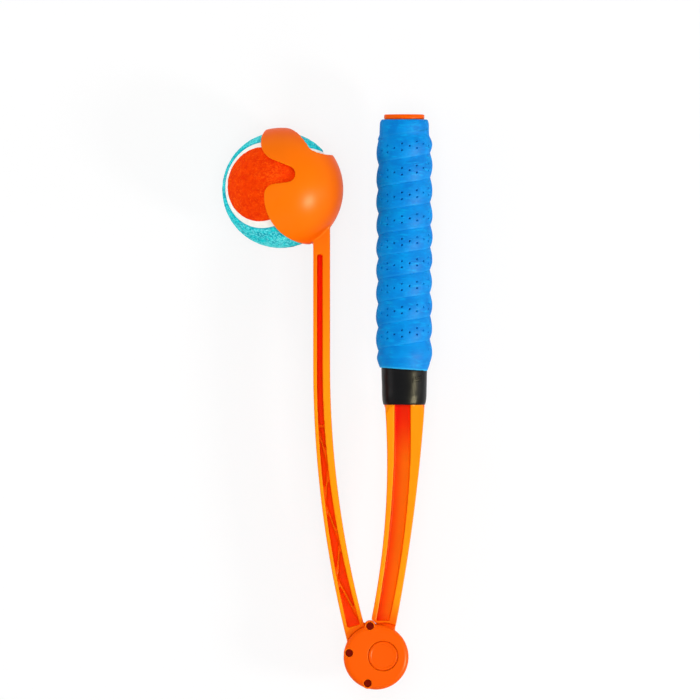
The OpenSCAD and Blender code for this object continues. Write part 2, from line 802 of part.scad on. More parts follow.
wrap_ring_list = [for (k = [0 : wrap_rings]) wrap_ring(k)];
// Upper edge of each turn to the lower edge of the next
wrap_least_gap = min([for (k = [0 : wrap_rings - rings_per_turn], p = [1, 2], q = [0, 5])
    norm(wrap_ring_list[k + rings_per_turn][q] - wrap_ring_list[k][p])]);

module grip_tape() {
    echo(least_gap_between_tape_turns = wrap_least_gap);
    color(blue) loft(wrap_ring_list);
}

// Ball

// Sets a shape into the ball's place and attitude
module in_ball() {
    translate(ball_c) rotate([ball_tip, 0, 0]) rotate([0, ball_turn, 0]) rotate([90, 0, 0]) children();
}

// The two panels are alike, and one is turned against the other
other_panel = [90, 0, 180];
// Half angle of a round end, whose circle touches those of the other panel
lobe_half = acos(-pow(sin(seam_lean), 2)) / 2;

// Two cones from the middle, which lean towards +X
module lobes(half_angle) {
    for (lean = [seam_lean, 180 - seam_lean]) rotate([0, lean, 0])
        cylinder(h = ball_d, r1 = 0, r2 = ball_d * tan(half_angle));
}

module half_space() {
    translate([0, -ball_d, -ball_d]) cube([ball_d, 2 * ball_d, 2 * ball_d]);
}

// The space of one panel: a band round half the ball that ends in two round lobes
module panel_space(inset) {
    beside = lobe_half + inset;
    // Meets the edge beside the other panel's lobes in the plane between the halves
    inside = acos(sqrt(pow(cos(seam_lean), 2) - pow(cos(beside), 2)));
    difference() {
        half_space();
        lobes(beside);
    }
    rotate(other_panel) intersection() {
        half_space();
        lobes(inside);
    }
}

module felt_shell(outer) {
    difference() {
        sphere(outer);
        sphere(core_r);
    }
}

module felt_panel(turn) {
    in_ball() intersection() {
        felt_shell(ball_r);
        rotate(turn) panel_space(seam_half);
    }
}

module ball_core() {
    color(rubber) translate(ball_c) difference() {
        sphere(core_r);
        sphere(core_r - rubber_wall);
    }
}

module felt_panel_orange() { color(felt_red) felt_panel([0, 0, 0]); }
module felt_panel_teal() { color(felt_teal) felt_panel(other_panel); }

module ball_seam() {
    color(seam_white) in_ball() difference() {
        felt_shell(ball_r - seam_sink);
        panel_space(seam_half);
        rotate(other_panel) panel_space(seam_half);
    }
}

handle_arm();
end_cap();
grip_tape();
finishing_tape();
throw_arm();
ball_cup();
hinge_cover();
cover_screw(0);  // cover_screw_top
cover_screw(1);  // cover_screw_left
cover_screw(2);  // cover_screw_bottom
release_button();
lock_gear();
lock_spring();
ball_core();
felt_panel_orange();
felt_panel_teal();
ball_seam();
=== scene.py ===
"""Looks of a foldable ball launcher, dressed over its packed construction.

Sizes are written in millimetres and multiplied by MM; Blender works in metres.
"""

import math

import bmesh
import bpy
from mathutils import Matrix, Vector, noise


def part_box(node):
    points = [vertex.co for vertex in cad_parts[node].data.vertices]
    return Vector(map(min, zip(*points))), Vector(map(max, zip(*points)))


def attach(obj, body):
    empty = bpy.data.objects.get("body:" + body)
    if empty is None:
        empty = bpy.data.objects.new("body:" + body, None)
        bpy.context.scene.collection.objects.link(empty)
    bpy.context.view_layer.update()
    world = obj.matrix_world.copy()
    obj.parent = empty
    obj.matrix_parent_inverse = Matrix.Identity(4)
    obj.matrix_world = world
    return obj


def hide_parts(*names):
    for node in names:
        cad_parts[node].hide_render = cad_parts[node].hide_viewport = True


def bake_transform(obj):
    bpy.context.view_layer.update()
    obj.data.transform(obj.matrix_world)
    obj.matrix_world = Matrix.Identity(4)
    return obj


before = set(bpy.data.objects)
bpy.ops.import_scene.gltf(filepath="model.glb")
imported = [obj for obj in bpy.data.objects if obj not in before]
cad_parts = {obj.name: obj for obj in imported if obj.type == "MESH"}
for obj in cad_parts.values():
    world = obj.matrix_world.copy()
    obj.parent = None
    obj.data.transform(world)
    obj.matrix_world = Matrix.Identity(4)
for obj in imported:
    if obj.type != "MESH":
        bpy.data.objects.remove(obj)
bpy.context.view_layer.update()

MM = 0.001

# Places taken from the frame
cap_low, cap_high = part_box("end_cap")
tape_low, tape_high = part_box("grip_tape")
band_low, band_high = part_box("finishing_tape")
button_low, button_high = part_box("release_button")
core_low, core_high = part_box("ball_core")
cup_low, cup_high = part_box("ball_cup")
spring_low, spring_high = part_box("lock_spring")

grip_x = (cap_low.x + cap_high.x) / 2
mid_z = (cap_low.z + cap_high.z) / 2
grip_core_r = (cap_high.x - cap_low.x) / 2
grip_top = tape_high.y
grip_bottom = tape_low.y
cap_top = cap_high.y
band_bottom = band_low.y
ball_middle = (core_low + core_high) / 2
ball_core_r = (core_high.z - core_low.z) / 2
cup_r = (cup_high.z - cup_low.z) / 2
cup_bottom = cup_high.y - 2 * cup_r
button_r = (button_high.x - button_low.x) / 2
hinge_top = button_high.z

# Slope of the black band's upper edge and of the blue tape that starts there
BAND_SLOPE = math.radians(4)
# Points nearer than this are one point
MERGE = 0.001 * MM


def srgb(red, green, blue):
    """A colour as it is seen on a screen, as Blender's linear one."""
    def linear(level):
        share = level / 255
        return share / 12.92 if share <= 0.04045 else ((share + 0.055) / 1.055) ** 2.4
    return (linear(red), linear(green), linear(blue), 1)


# Shader maths

class Socket:
    """An output of a shader node; arithmetic on it adds Math nodes."""

    def __init__(self, shading, output):
        self.shading = shading
        self.output = output

    def math(self, operation, first, second):
        return self.shading.node("ShaderNodeMath", {"operation": operation}, {0: first, 1: second})

    def __add__(self, other):
        return self.math("ADD", self, other)

    __radd__ = __add__

    def __sub__(self, other):
        return self.math("SUBTRACT", self, other)

    def __rsub__(self, other):
        return self.math("SUBTRACT", other, self)

    def __mul__(self, other):
        return self.math("MULTIPLY", self, other)

    __rmul__ = __mul__

    def most(self, other):
        return self.math("MAXIMUM", self, other)


class Shading:
    """The nodes of a material or of the world."""

    def __init__(self, tree):
        self.tree = tree

    def node(self, kind, settings=None, inputs=None, output=0):
        """Adds one node: first its settings, then the values or links of its sockets."""
        made = self.tree.nodes.new(kind)
        for word, value in (settings or {}).items():
            setattr(made, word, value)
        for key, value in (inputs or {}).items():
            if isinstance(value, Socket):
                self.link(value, made.inputs[key])
            else:
                made.inputs[key].default_value = value
        return Socket(self, made.outputs[output])

    def link(self, value, socket):
        self.tree.links.new(value.output, socket)

    def seen(self):
        """1 where the background shows: to the camera, in a reflection or through glass."""
        rays = self.node("ShaderNodeLightPath").output.node.outputs
        words = ("Is Camera Ray", "Is Glossy Ray", "Is Transmission Ray")
        to_camera, in_gloss, through = [Socket(self, rays[word]) for word in words]
        return to_camera.most(in_gloss).most(through)


class Finish(Shading):
    """A material under construction, with constants set on its shader."""

    def __init__(self, name, **constants):
        self.material = bpy.data.materials.new(name)
        self.material.use_nodes = True
        super().__init__(self.material.node_tree)
        self.shader = self.tree.nodes["Principled BSDF"]
        for word, value in constants.items():
            self.shader.inputs[word.replace("_", " ")].default_value = value

    def place(self):
        """Where a point is on the object, in metres."""
        return self.node("ShaderNodeTexCoord", output="Object")

    def marked(self, word):
        """A value that the piece's own vertices carry."""
        return self.node("ShaderNodeAttribute", {"attribute_name": word}, output="Fac")

    def axes(self, vector):
        """The three parts of a vector, as values."""
        split = self.node("ShaderNodeSeparateXYZ", inputs={0: vector}).output.node
        return [Socket(self, output) for output in split.outputs]

    def noise(self, vector, grain, detail=2.0, roughness=0.5):
        """Noise whose features are about a grain across."""
        return self.node("ShaderNodeTexNoise", inputs={
            "Vector": vector, "Scale": 1 / grain, "Detail": detail, "Roughness": roughness})

    def step(self, value, low, high):
        """0 below low, 1 above high, and smooth between."""
        return self.node("ShaderNodeMapRange", {"interpolation_type": "SMOOTHSTEP"},
                         {0: value, 1: low, 2: high})

    def blend(self, share, low, high):
        """A colour between two others."""
        return self.node("ShaderNodeMix", {"data_type": "RGBA"}, {0: share, 6: low, 7: high}, output=2)

    def shaded(self, colour, shade):
        """A colour multiplied by another."""
        settings = {"data_type": "RGBA", "blend_type": "MULTIPLY"}
        return self.node("ShaderNodeMix", settings, {0: 1.0, 6: colour, 7: shade}, output=2)

    def feed(self, word, value):
        """Gives the material's shader a value that changes over the surface."""
        self.link(value, self.shader.inputs[word])

    def bump(self, height, depth):
        """Relief too fine to model, as deep as given where the height is 1."""
        self.feed("Normal", self.node("ShaderNodeBump", inputs={"Height": height, "Distance": depth}))


# Finishes

def orange_moulding(name, body, lit_tone, deep):
    """Satin moulded plastic, with painted light on its flanges and edges and painted shade and glow on its
    channel floors.
    """
    finish = Finish(name, Specular_IOR_Level=0.02, Coat_Weight=0.08, Coat_Roughness=0.3)
    place = finish.place()
    clouds = finish.noise(place, 30 * MM, detail=3)
    grain = finish.noise(place, 0.5 * MM)
    scuffs = finish.step(finish.noise(place, 6 * MM, detail=5, roughness=0.7), 0.58, 0.75)
    # Painted light: lit flanges and lit floors take the lit tone.
    colour = finish.blend(finish.marked("painted_light"), body, lit_tone)
    # Painted shade and glow: channel floors take the deep red tone.
    colour = finish.blend(finish.marked("channel"), colour, deep)
    # Painted highlight: rounded edges take part of the lit tone.
    colour = finish.blend(finish.marked("edge") * 0.55, colour, lit_tone)
    shade = finish.blend(clouds, srgb(240, 240, 240), srgb(255, 255, 255))
    finish.feed("Base Color", finish.shaded(colour, shade))
    finish.feed("Roughness", 0.32 + 0.1 * grain + 0.12 * scuffs)
    finish.bump(grain + 0.6 * clouds, 0.015 * MM)
    return finish.material


def tape_blue():
    """Soft cushion tape with a fine pebble and drawn wrinkles, and painted highlights along its lower edge
    and its lips.
    """
    finish = Finish("cushion_tape_blue", Specular_IOR_Level=0.03, Coat_Weight=0.06, Coat_Roughness=0.5)
    place = finish.place()
    pebble = finish.noise(place, 0.55 * MM)
    clouds = finish.noise(place, 9 * MM, detail=4)
    stretched = finish.node("ShaderNodeMapping", inputs={"Vector": place, "Scale": (1, 4, 1)})
    wrinkles = finish.noise(stretched, 7 * MM, detail=3, roughness=0.6)
    drawn = finish.node("ShaderNodeMapping", inputs={"Vector": place, "Scale": (0.35, 3, 0.35)})
    streaks = finish.step(finish.noise(drawn, 2.4 * MM), 0.52, 0.74)
    x, y = finish.axes(place)[:2]
    # Painted highlight: a light line along the tape's lower edge, above the band.
    above_band = y + (x - grip_x) * math.tan(BAND_SLOPE) - (grip_bottom + band_high.y) / 2
    rim = 1 - finish.step(above_band, 0.3 * MM, 1.3 * MM)
    tint = finish.blend(finish.step(clouds, 0.3, 0.7), srgb(0, 120, 204), srgb(0, 140, 219))
    tint = finish.blend(finish.step(wrinkles, 0.52, 0.72).most(0.3 * streaks), tint, srgb(0, 152, 223))
    finish.feed("Base Color", finish.blend(rim.most(0.16 * finish.marked("lip")), tint, srgb(44, 176, 234)))
    finish.feed("Roughness", 0.5 + 0.16 * pebble)
    finish.bump(0.5 * pebble + wrinkles + 0.6 * streaks, 0.18 * MM)
    return finish.material


def tape_hole_shade():
    """Painted shade: the inside of a perforation, a darker blue."""
    finish = Finish("cushion_tape_hole", Specular_IOR_Level=0.1)
    place = finish.place()
    grain = finish.noise(place, 0.4 * MM)
    finish.feed("Base Color", finish.blend(grain, srgb(0, 34, 92), srgb(0, 50, 120)))
    finish.feed("Roughness", 0.8 + 0.1 * grain)
    return finish.material


def tape_black():
    """Glossy vinyl tape with drawn streaks round the grip."""
    finish = Finish("vinyl_tape_black", Specular_IOR_Level=0.09)
    place = finish.place()
    streaked = finish.node("ShaderNodeMapping", inputs={"Vector": place, "Scale": (0.2, 1, 0.2)})
    streaks = finish.noise(streaked, 1.6 * MM, detail=4)
    clouds = finish.noise(place, 8 * MM, detail=3)
    finish.feed("Base Color", finish.blend(streaks, srgb(6, 6, 7), srgb(15, 15, 17)))
    finish.feed("Roughness", 0.26 + 0.14 * clouds)
    finish.bump(streaks + clouds, 0.05 * MM)
    return finish.material


def felt(name, deep, main, light):
    """Napped felt: short matted fibres, mottled in colour."""
    finish = Finish(name, Specular_IOR_Level=0.05)
    place = finish.place()
    fibres = finish.noise(place, 1.1 * MM, detail=4, roughness=0.65)
    tufts = finish.noise(place, 3.2 * MM, detail=3, roughness=0.6)
    clouds = finish.noise(place, 14 * MM)
    mottle = finish.blend(finish.step(tufts, 0.3, 0.7), deep, main)
    nap_colour = finish.blend(finish.step(fibres * 0.7 + clouds * 0.3, 0.46, 0.66), mottle, light)
    # Painted shade: the felt darkens to its deep tone next to the seam.
    finish.feed("Base Color", finish.blend(finish.marked("rim") * 0.7, nap_colour, deep))
    finish.feed("Roughness", 0.86 + 0.1 * fibres)
    finish.bump(fibres + 0.8 * tufts, 0.5 * MM)
    return finish.material


def seam_rubber():
    """White rubber, a little soiled."""
    finish = Finish("seam_white", Specular_IOR_Level=0.3)
    place = finish.place()
    clouds = finish.noise(place, 3 * MM, detail=4)
    finish.feed("Base Color", finish.blend(clouds, srgb(238, 233, 224), srgb(255, 253, 248)))
    finish.feed("Roughness", 0.6 + 0.15 * clouds)
    finish.bump(clouds, 0.15 * MM)
    return finish.material


def dark_steel(name, low, high):
    """Steel with fine turning marks, in the colours it is given."""
    finish = Finish(name, Metallic=1.0)
    place = finish.place()
    marks = finish.noise(place, 0.3 * MM, detail=3)
    finish.feed("Base Color", finish.blend(marks, low, high))
    finish.feed("Roughness", 0.35 + 0.2 * marks)
    finish.bump(marks, 0.02 * MM)
    return finish.material


def plain_moulding(name, low, high, roughness):
    """A hidden moulding or rubber piece, lightly mottled."""
    finish = Finish(name, Specular_IOR_Level=0.4)
    place = finish.place()
    clouds = finish.noise(place, 5 * MM, detail=4)
    finish.feed("Base Color", finish.blend(clouds, low, high))
    finish.feed("Roughness", roughness + 0.1 * clouds)
    finish.bump(clouds, 0.05 * MM)
    return finish.material


# Making pieces

def seat(piece, body, slot, *nodes):
    """A finished piece rides a body and stands for its CAD nodes, which it hides; the slot is not used."""
    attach(piece, body)
    if nodes:
        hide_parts(*nodes)


def make_piece(shape, name, *materials, sharp=None):
    """Turns a bmesh into a smooth-shaded object."""
    mesh = bpy.data.meshes.new(name)
    shape.to_mesh(mesh)
    shape.free()
    for material in materials:
        mesh.materials.append(material)
    mesh.shade_smooth()
    if sharp is not None:
        mesh.set_sharp_from_angle(angle=sharp)
    piece = bpy.data.objects.new(name, mesh)
    bpy.context.scene.collection.objects.link(piece)
    return piece


def apply_modifiers(piece):
    """Writes the result of the piece's modifiers into its mesh."""
    shown = piece.evaluated_get(bpy.context.evaluated_depsgraph_get())
    mesh = bpy.data.meshes.new_from_object(shown)
    piece.modifiers.clear()
    piece.data = mesh
    mesh.shade_smooth()


def mark(piece, word, measure):
    """Writes a value on each vertex, worked out from its place and its normal."""
    values = piece.data.attributes.new(word, "FLOAT", "POINT").data
    for vert, value in zip(piece.data.vertices, values):
        value.value = measure(vert.co, vert.normal)


def ramp(value, low, high):
    """0 below low, 1 above high, and smooth between."""
    share = min(1.0, max(0.0, (value - low) / (high - low)))
    return share * share * (3 - 2 * share)


# Mouldings: grain of the even mesh, rounds of softening, and the share of triangles kept
ARM_VOXEL = 0.5 * MM
ARM_ROUNDS = 7
HANDLE_KEEP = 0.58
COVER_VOXEL = 0.35 * MM
COVER_ROUNDS = 3
# Arms: depths, how far the flanges' rims are rounded, and where they turn into the grip and the cup
THROW_DEPTH = 17 * MM
THROW_RIM = 0.5 * MM
HANDLE_DEPTH = 19 * MM
HANDLE_RIM = 2.5 * MM
HANDLE_END = 131 * MM
ROUND_OFF = 3 * MM
NECK_DROP = 0.5 * MM
# The inner wall of the handle's channel is an arc
CHANNEL_WALL_R = 588 * MM
CHANNEL_WALL_X = 6.5 * MM
CHANNEL_WALL_Y = 129.2 * MM
CHANNEL_WIDTH = 8.6 * MM
# The gear's pocket in the back shell: its reach and its two ends, and how far its walls step back
POCKET_REACH = 12.8 * MM
POCKET_FLOOR = 1.2 * MM
POCKET_TOP = 8.5 * MM
POCKET_ROOM = 0.45 * MM
# How bent a moulding is where an edge's painted highlight starts, and where it is full
EDGE_BEND = (0.04, 0.22)
# A face is a channel's floor when it looks up or down and lies near the middle plane
FLOOR_FACING = (0.3, 0.9)
FLOOR_LEVEL = (3.5 * MM, 4.7 * MM)
# Distances from the fold axis between which the arms' painted light and shade change
FLANGE_START = (17 * MM, 36 * MM)
THROW_FLANGE_END = (140 * MM, 222 * MM)
THROW_FLOOR_RED = (110 * MM, 190 * MM)
HANDLE_FLOOR_END = (105 * MM, 132 * MM)
HANDLE_TAPE_RED = (108 * MM, 137 * MM)
HANDLE_HINGE_RED = (17 * MM, 26 * MM)
# How much painted light the handle's flanges take
HANDLE_FLANGE = 0.9


def mark_edges(piece):
    """Marks the rounded-over edges, which take a painted highlight."""
    shape = bmesh.new()
    shape.from_mesh(piece.data)
    values = piece.data.attributes.new("edge", "FLOAT", "POINT").data
    for vert, value in zip(shape.verts, values):
        ways = [(edge.other_vert(vert).co - vert.co).normalized() for edge in vert.link_edges]
        bend = -sum(vert.normal.dot(way) for way in ways) / max(1, len(ways))
        value.value = ramp(bend, *EDGE_BEND)
    shape.free()


def mark_arm(piece, half_depth, rim_drop, round_y, lit, glow, floor_lit):
    """Marks the painted light on an arm's flanges and the painted shade and glow on the floors of its
    channels.

    rim_drop is how far the flanges' rims are rounded, and round_y is where the arm begins to round off into
    the grip. At a place, lit says how much painted light the flanges take, glow how much painted red shade
    and glow a floor takes, and floor_lit how much painted light the floor takes.
    """
    def on_floor(place, normal):
        low = 1 - ramp(abs(place.z - mid_z), *FLOOR_LEVEL)
        return ramp(abs(normal.z), *FLOOR_FACING) * low

    # Painted light on the flanges, and on the floors where floor_lit gives it.
    def painted_light(place, normal):
        level = abs(place.z - mid_z)
        rounding = ramp(place.y, round_y, round_y + ROUND_OFF)
        facing = ramp(abs(normal.z), 0.2 - 0.12 * rounding, 0.7 - 0.4 * rounding)
        raised = ramp(level, half_depth - 2 * rim_drop, half_depth - rim_drop * (1 + 0.8 * rounding))
        flange = ramp(place.xy.length, *FLANGE_START) * lit(place) * facing * raised
        return max(flange, floor_lit(place) * on_floor(place, normal))

    # Painted shade and glow on the floors of the channels.
    def channel(place, normal):
        return on_floor(place, normal) * glow(place)

    mark(piece, "painted_light", painted_light)
    mark(piece, "channel", channel)


def throw_lit(place):
    """The flanges' painted light fades towards the cup, where they take the cup's colour."""
    return 1 - 0.7 * ramp(place.y, *THROW_FLANGE_END)


def throw_glow(place):
    """The floor's painted shade and glow is reddest in the narrow part of the channel."""
    return 0.55 + 0.45 * ramp(place.y, *THROW_FLOOR_RED)


def throw_floor_lit(place):
    """No floor of the throwing arm takes painted light."""
    return 0.0


def handle_lit(place):
    """The handle's flanges take even painted light."""
    return HANDLE_FLANGE


def across_channel(place):
    """0 at the inner wall of the handle's channel, 1 at its outer wall."""
    wall = CHANNEL_WALL_X - (CHANNEL_WALL_Y - place.y) ** 2 / (2 * CHANNEL_WALL_R)
    return (place.x - wall) / CHANNEL_WIDTH


def handle_floor_lit(place):
    """Painted light on the floor, more towards the outer wall and less towards the grip."""
    return 0.4 * ramp(across_channel(place), 0.1, 0.8) * (1 - ramp(place.y, *HANDLE_FLOOR_END))


def handle_glow(place):
    """Painted shade and glow: red under the tape and at the hinge, and along the inner wall of the channel.
    """
    near_wall = 1 - ramp(across_channel(place), 0.0, 0.55)
    ends = ramp(place.y, *HANDLE_TAPE_RED) + 0.6 * (1 - ramp(place.y, *HANDLE_HINGE_RED))
    return min(1.0, 0.4 * near_wall + 0.85 * ends)


def softened_copy(nodes, name, material, voxel, rounds, keep=1.0):
    """A copy of CAD solids whose edges are rounded over, as a moulding's are."""
    shape = bmesh.new()
    for node in nodes:
        shape.from_mesh(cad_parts[node].data)
    bmesh.ops.remove_doubles(shape, verts=shape.verts, dist=MERGE)
    piece = make_piece(shape, name, material)
    remesh = piece.modifiers.new("even_mesh", "REMESH")
    remesh.mode = "VOXEL"
    remesh.voxel_size = voxel
    soften = piece.modifiers.new("round_edges", "SMOOTH")
    soften.factor = 0.5
    soften.iterations = rounds
    if keep < 1:
        thin_out = piece.modifiers.new("thin_out", "DECIMATE")
        thin_out.ratio = keep
    apply_modifiers(piece)
    piece.data.materials.clear()
    piece.data.materials.append(material)
    mark_edges(piece)
    return piece


def clear_pocket(piece):
    """Opens the gear's pocket in the back shell again, which the rounding has narrowed."""
    for vert in piece.data.vertices:
        if vert.co.xy.length < POCKET_REACH and POCKET_FLOOR < vert.co.z < POCKET_TOP:
            vert.co -= vert.normal * POCKET_ROOM


def cut_off(piece, name, y, side):
    """The part of a moulding above (side 1) or below (side -1) a level, closed at the cut."""
    shape = bmesh.new()
    shape.from_mesh(piece.data)
    whole = shape.verts[:] + shape.edges[:] + shape.faces[:]
    cut = bmesh.ops.bisect_plane(shape, geom=whole, plane_co=(0, y, 0), plane_no=(0, side, 0),
                                 clear_inner=True, dist=MERGE)["geom_cut"]
    rim = [edge for edge in cut if isinstance(edge, bmesh.types.BMEdge)]
    bmesh.ops.triangle_fill(shape, edges=rim, use_beauty=True, normal=(0, -side, 0))
    return make_piece(shape, name, *piece.data.materials, sharp=math.radians(65))


SPIN_STEPS = 96
ARC_STEPS = 5


def spun(points, centre, axis):
    """A profile of (radius, height) points turned once round an axis through a centre."""
    shape = bmesh.new()
    side = axis.orthogonal().normalized()
    ring = [shape.verts.new(centre + side * r + axis * h) for r, h in points]
    edges = [shape.edges.new(pair) for pair in zip(ring, ring[1:])]
    bmesh.ops.spin(shape, geom=ring + edges, cent=centre, axis=axis, angle=2 * math.pi,
                   steps=SPIN_STEPS, use_merge=True)
    bmesh.ops.remove_doubles(shape, verts=shape.verts, dist=MERGE)
    bmesh.ops.recalc_face_normals(shape, faces=shape.faces)
    return shape


def rounded(points, radius):
    """An open profile with its inner corners replaced by arcs."""
    path = [Vector(p) for p in points]
    smooth = [path[0]]
    for before, corner, after in zip(path, path[1:], path[2:]):
        back = min(radius, (before - corner).length / 2)
        ahead = min(radius, (after - corner).length / 2)
        start = corner + (before - corner).normalized() * back
        end = corner + (after - corner).normalized() * ahead
        for i in range(ARC_STEPS + 1):
            t = i / ARC_STEPS
            smooth.append((1 - t) ** 2 * start + 2 * t * (1 - t) * corner + t ** 2 * end)
    return [tuple(p) for p in smooth] + [tuple(path[-1])]


def between(value, pairs):
    """Straight-line interpolation in a list of (place, value)."""
    for (a, low), (b, high) in zip(pairs, pairs[1:]):
        if value <= b:
            share = max(0.0, (value - a) / (b - a))
            return low + (high - low) * share
    return pairs[-1][1]


def wobble(point, grain, seed):
    """Unevenness between -1 and 1, about a grain across."""
    return noise.noise(Vector(point) / grain + Vector((seed, 0, 0)))


# Wound grip

# The tape's rise in a turn, and a height at which its lower edge comes round to the front
TAPE_PITCH = 13.1 * MM
TAPE_SEAM_Y = 174 * MM
# Mesh steps in a turn, and the turns beyond each end that are cut away
ALONG_TURN = 66
SPARE_BELOW = 1.3
SPARE_ABOVE = 0.3
# Across the tape, in millimetres: height above the lower edge, and radius of the outer face
TAPE_FACE = [(0.0, 14.42), (0.3, 14.68), (0.8, 14.84), (1.6, 15.1), (2.6, 15.4), (3.6, 15.62),
             (4.65, 15.74), (6.5, 15.78), (8.35, 15.6), (9.6, 15.36), (10.7, 15.1), (11.6, 14.86),
             (12.4, 14.66), (13.1, 14.5), (13.9, 14.2), (14.8, 13.8)]
# Rows of that face: the lip, which takes a painted highlight, and the perforations, which come by turns as
# a pair and single
LIP_ROWS = (1, 2)
PAIR_ROWS = (6, 8)
SINGLE_ROW = 7
HOLE_PERIOD = 6
HOLE_OFFSET = 0.95 * MM
HOLE_TURN = -0.09
# Each step of a perforation: how far its floor moves, outwards if positive, and how much it narrows
HOLE_STEPS = ((-0.25 * MM, 0.08 * MM), (-1.0 * MM, 0.05 * MM))
# Lengths at the two ends without perforations
PLAIN_BELOW = 12 * MM
PLAIN_ABOVE = 11.5 * MM
# Unevenness in millimetres: over the whole tape, along its lower edge, and next to the band
SWELL = 0.35
DIMPLE = 0.14
RIPPLE = 0.12
PINCH = 0.1
MEAN_R = 15 * MM
RIPPLE_HEIGHT = 6
PINCH_LENGTH = (4 * MM, 12 * MM)
# Over part of the grip the turns lie a little lower
DRIFT = 1.8 * MM
DRIFT_Y = 250 * MM
DRIFT_SPAN = 30 * MM
# The tape's end cuts rise less than its long edges, and are closed down to the core
END_RISE = 0.3 * MM
HEM_ROOM = 0.1 * MM


def grip_limit(y):
    """Single layers hold the tape down at both ends of the grip."""
    return between(y, [(grip_bottom, 12.9 * MM), (grip_bottom + 1.2 * MM, 13.5 * MM),
                       (grip_bottom + 9 * MM, 16.2 * MM), (grip_top - 13.5 * MM, 16.2 * MM),
                       (grip_top - 9 * MM, 13.9 * MM), (grip_top - 2.2 * MM, 13.7 * MM),
                       (grip_top - 0.9 * MM, 13.4 * MM), (grip_top - 0.3 * MM, 13.0 * MM),
                       (grip_top, 12.5 * MM)])


def wound_grip(blue, hole):
    """Cushion tape wound upwards as a helix, each turn lapping the last, with its perforations."""
    first = math.floor(((grip_bottom - TAPE_SEAM_Y) / TAPE_PITCH - SPARE_BELOW) * ALONG_TURN)
    last = math.ceil(((grip_top - TAPE_SEAM_Y) / TAPE_PITCH + SPARE_ABOVE) * ALONG_TURN)
    along = last - first
    across = len(TAPE_FACE) - 1
    shape = bmesh.new()
    lip = shape.verts.layers.float.new("lip")
    grid = bmesh.ops.create_grid(shape, x_segments=along, y_segments=across, size=1)["verts"]
    holes = []
    for vert in grid:
        step = first + round((vert.co.x + 1) / 2 * along)
        row = round((vert.co.y + 1) / 2 * across)
        up, reach = TAPE_FACE[row]
        angle = step / ALONG_TURN * 2 * math.pi + HOLE_TURN
        y = TAPE_SEAM_Y + step / ALONG_TURN * TAPE_PITCH + up * MM
        y -= DRIFT * math.exp(-((y - DRIFT_Y) / DRIFT_SPAN) ** 2)
        aim = Vector((math.sin(angle), 0, math.cos(angle)))
        spot = aim * MEAN_R + Vector((0, y, 0))
        swell = SWELL * wobble(spot, 22 * MM, 3) + DIMPLE * wobble(spot, 6 * MM, 7)
        low = max(0, 1 - up / RIPPLE_HEIGHT)
        ripple = RIPPLE * wobble((angle * 4 * MM, y * 5, 0), 5 * MM, 11) * low
        held = 1 - ramp(y - grip_bottom, *PINCH_LENGTH)
        pinch = PINCH * wobble((angle * 3 * MM, y * 6, 0), 4 * MM, 17) * held
        radius = min((reach + swell + ripple) * MM, grip_limit(y) + 0.4 * swell * MM) + pinch * MM
        vert.co = Vector((grip_x, y, mid_z)) + aim * radius
        vert[lip] = 1.0 if row in LIP_ROWS else 0.0
        plain = y < grip_bottom + PLAIN_BELOW or y > grip_top - PLAIN_ABOVE
        paired = step % HOLE_PERIOD == 0 and row in PAIR_ROWS
        single = step % HOLE_PERIOD == HOLE_PERIOD // 2 and row == SINGLE_ROW
        if not plain and (paired or single):
            holes.append(vert)
    mouths = bmesh.ops.bevel(shape, geom=holes, offset=HOLE_OFFSET, offset_type="OFFSET", segments=1,
                             profile=0.5, affect="VERTICES", material=-1, clamp_overlap=True)["faces"]
    bmesh.ops.recalc_face_normals(shape, faces=shape.faces)
    for depth, width in HOLE_STEPS:
        bmesh.ops.inset_individual(shape, faces=mouths, thickness=width, depth=depth, use_even_offset=True)
    # The perforations' floors take the painted-shade finish.
    for face in mouths:
        face.material_index = 1
    slope = Vector((math.sin(BAND_SLOPE), math.cos(BAND_SLOPE), 0))
    low_edge = Vector((grip_x, (grip_bottom + band_high.y) / 2, mid_z))
    top_edge = Vector((grip_x, grip_top, mid_z))
    for point, normal in ((top_edge, Vector((0, 1, 0))), (low_edge, -slope)):
        whole = shape.verts[:] + shape.edges[:] + shape.faces[:]
        bmesh.ops.bisect_plane(shape, geom=whole, plane_co=point, plane_no=normal, clear_outer=True,
                               dist=MERGE)
    ends = [edge for edge in shape.edges if edge.is_boundary
            and abs((edge.verts[0].co - edge.verts[1].co).y) < END_RISE]
    hem = bmesh.ops.extrude_edge_only(shape, edges=ends)["geom"]
    for vert in (v for v in hem if isinstance(v, bmesh.types.BMVert)):
        axis_point = Vector((grip_x, vert.co.y, mid_z))
        vert.co = axis_point + (vert.co - axis_point).normalized() * (grip_core_r + HEM_ROOM)
    piece = make_piece(shape, "wound_grip", blue, hole)
    rounding = piece.modifiers.new("soft_foam", "SUBSURF")
    rounding.levels = rounding.render_levels = 1
    apply_modifiers(piece)
    seat(piece, "handle", "blue_tape", "grip_tape")


# Finishing tape and end cap

# Edges longer than this are divided, so that the band can crease; its creases are in millimetres
LONG_EDGE = 2 * MM
EDGE_CUTS = 12
CREASE = 0.12
FINE_CREASE = 0.06
# How far the sloping edge is let down, as a share of its fall from the middle to the side
EDGE_SINK = 0.4


